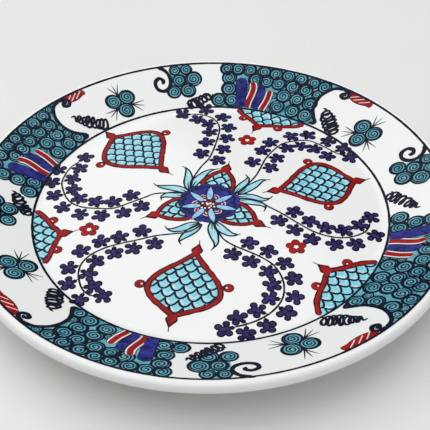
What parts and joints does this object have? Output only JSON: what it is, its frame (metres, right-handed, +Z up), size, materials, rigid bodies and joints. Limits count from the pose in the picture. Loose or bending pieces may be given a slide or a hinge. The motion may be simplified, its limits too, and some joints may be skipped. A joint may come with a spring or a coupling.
{
  "type": "hand painted ceramic plate",
  "caption": "Shallow round ceramic plate with a flat well, a sloping rim and a foot ring, its face painted with medallions, blossom sprigs and rim scrolls under a clear glaze.",
  "frame": {"origin": "on the plate's axis, at the flat underside of the foot ring", "axes": "+Z up along the plate's axis, away from the foot ring; +X to the right and +Y away from the viewer, as the painting is seen"},
  "size_m": [0.3, 0.3, 0.0307],
  "materials": {
    "fired_clay": "unglazed pale fired clay, fine matte grain",
    "white_glaze": "glossy slightly blue-white glaze",
    "black_line": "black-navy brushed line under a glossy glaze",
    "tomato_red": "thick tomato red, slightly raised, glossy",
    "turquoise": "turquoise underglaze wash, glossy",
    "cobalt_blue": "brushed cobalt blue with streaks, glossy",
    "violet_navy": "violet navy brushwork, glossy",
    "aqua_leaf": "pale aqua wash, glossy",
    "teal_scroll": "teal scroll lines with aqua gaps, glossy"
  },
  "bodies": {
    "root": {"body": "fired_clay", "foot_ring": "fired_clay", "face_glaze": "white_glaze", "back_glaze": "white_glaze", "foot_well_glaze": "white_glaze", "well_line": "black_line", "outer_line": "black_line", "scribble_1": "black_line", "scribble_2": "black_line", "scribble_3": "black_line", "scribble_4": "black_line", "medallion_frame_1": "tomato_red", "medallion_frame_2": "tomato_red", "medallion_frame_3": "tomato_red", "edge_medallion_1": "tomato_red", "edge_medallion_2": "tomato_red", "edge_medallion_3": "tomato_red", "centre_medallion_1": "tomato_red", "centre_medallion_2": "tomato_red", "centre_medallion_3": "tomato_red", "red_flower_1": "tomato_red", "red_flower_2": "tomato_red", "red_flower_3": "tomato_red", "red_finial_1": "tomato_red", "red_finial_2": "tomato_red", "red_finial_3": "tomato_red", "red_finial_4": "tomato_red", "medallion_scales_1": "turquoise", "medallion_scales_2": "turquoise", "medallion_scales_3": "turquoise", "rosette": "cobalt_blue", "bar_fan_1": "cobalt_blue", "bar_fan_2": "cobalt_blue", "bar_fan_3": "cobalt_blue", "bar_fan_4": "cobalt_blue", "blossom_sprig_1": "violet_navy", "blossom_sprig_2": "violet_navy", "blossom_sprig_3": "violet_navy", "blossom_sprig_4": "violet_navy", "blossom_sprig_5": "violet_navy", "blossom_sprig_6": "violet_navy", "leaf_pair_1": "aqua_leaf", "leaf_pair_2": "aqua_leaf", "leaf_pair_3": "aqua_leaf", "leaf_pair_4": "aqua_leaf", "leaf_pair_5": "aqua_leaf", "leaf_pair_6": "aqua_leaf", "scroll_panel_1": "teal_scroll", "scroll_panel_2": "teal_scroll", "scroll_panel_3": "teal_scroll", "scroll_panel_4": "teal_scroll", "scroll_trefoil_1": "teal_scroll", "scroll_trefoil_2": "teal_scroll", "scroll_trefoil_3": "teal_scroll", "scroll_trefoil_4": "teal_scroll", "scroll_cloud_1": "teal_scroll", "scroll_cloud_2": "teal_scroll", "scroll_cloud_3": "teal_scroll", "scroll_cloud_4": "teal_scroll"}
  },
  "joints": []
}
